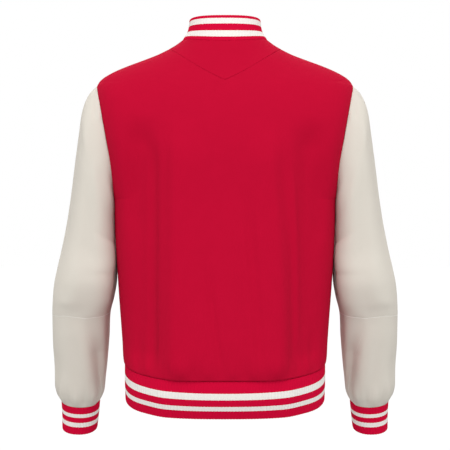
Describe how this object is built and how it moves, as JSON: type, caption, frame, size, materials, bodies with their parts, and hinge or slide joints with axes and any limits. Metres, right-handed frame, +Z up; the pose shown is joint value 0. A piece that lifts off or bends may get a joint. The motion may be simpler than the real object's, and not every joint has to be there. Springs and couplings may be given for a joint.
{
  "type": "varsity jacket",
  "caption": "Hip-length jacket filled out as if worn, with a snapped wool front, plain set-in sleeves, and striped rib-knit collar, cuffs and hem band.",
  "frame": {"origin": "on the centre line inside the base of the neck, level with the tops of the shoulders, where the wearer's shoulders hold the jacket", "axes": "+Z up, the front of the jacket faces -Y, and +X is the wearer's left"},
  "size_m": [0.6426, 0.2912, 0.7712],
  "materials": {
    "body_cloth": "brushed melton wool, matte with a short nap",
    "rib_knit": "rib knit, red with two white stripes",
    "sleeve_cloth": "plain cream sleeve cloth, smooth and matte",
    "snap_caps": "glossy off-white caps"
  },
  "bodies": {
    "root": {"back": "body_cloth", "back_yoke": "body_cloth", "front_left": "body_cloth", "front_right": "body_cloth", "hem_band": "rib_knit", "collar": "rib_knit", "upper_sleeve_left": "sleeve_cloth", "lower_sleeve_left": "sleeve_cloth", "cuff_left": "rib_knit", "upper_sleeve_right": "sleeve_cloth", "lower_sleeve_right": "sleeve_cloth", "cuff_right": "rib_knit", "snap_1": "snap_caps", "snap_2": "snap_caps", "snap_3": "snap_caps", "snap_4": "snap_caps", "snap_5": "snap_caps", "snap_6": "snap_caps", "snap_hem": "snap_caps"}
  },
  "joints": []
}
